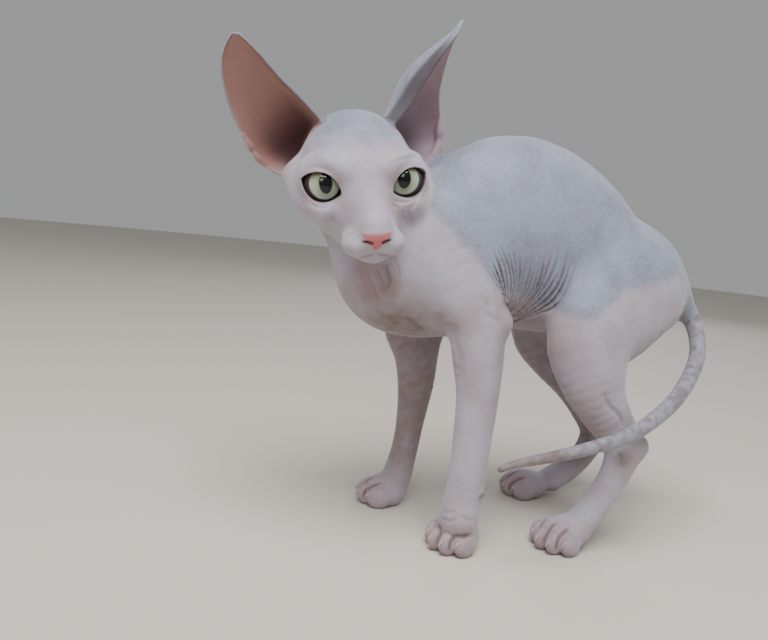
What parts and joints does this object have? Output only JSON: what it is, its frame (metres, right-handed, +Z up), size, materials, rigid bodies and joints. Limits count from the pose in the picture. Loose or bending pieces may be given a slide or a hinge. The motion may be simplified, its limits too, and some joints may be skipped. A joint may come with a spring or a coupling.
{
  "type": "standing sphynx cat model",
  "caption": "Life-size still model of a hairless cat that stands with an arched back and its head turned to its left.",
  "frame": {"origin": "on the floor, below the middle of the whole model's bounding box", "axes": "+Z up, -Y the way the cat's body faces, +X its left side"},
  "size_m": [0.1356, 0.3352, 0.3043],
  "materials": {
    "blue_grey_skin": "soft matte skin with fine down",
    "pale_skin": "soft matte skin with fine down",
    "ear_skin": "thin soft skin",
    "eye": "wet and clear"
  },
  "bodies": {
    "root": {"torso": "blue_grey_skin", "neck": "pale_skin", "head": "pale_skin", "ear_left": "ear_skin", "ear_right": "ear_skin", "eye_left": "eye", "eye_right": "eye", "left_foreleg": "pale_skin", "left_forepaw": "pale_skin", "right_foreleg": "pale_skin", "right_forepaw": "pale_skin", "left_thigh": "pale_skin", "left_shank": "pale_skin", "left_hind_foot": "pale_skin", "right_thigh": "pale_skin", "right_shank": "pale_skin", "right_hind_foot": "pale_skin", "tail_base": "blue_grey_skin", "tail_middle": "blue_grey_skin", "tail_tip": "blue_grey_skin"}
  },
  "joints": []
}
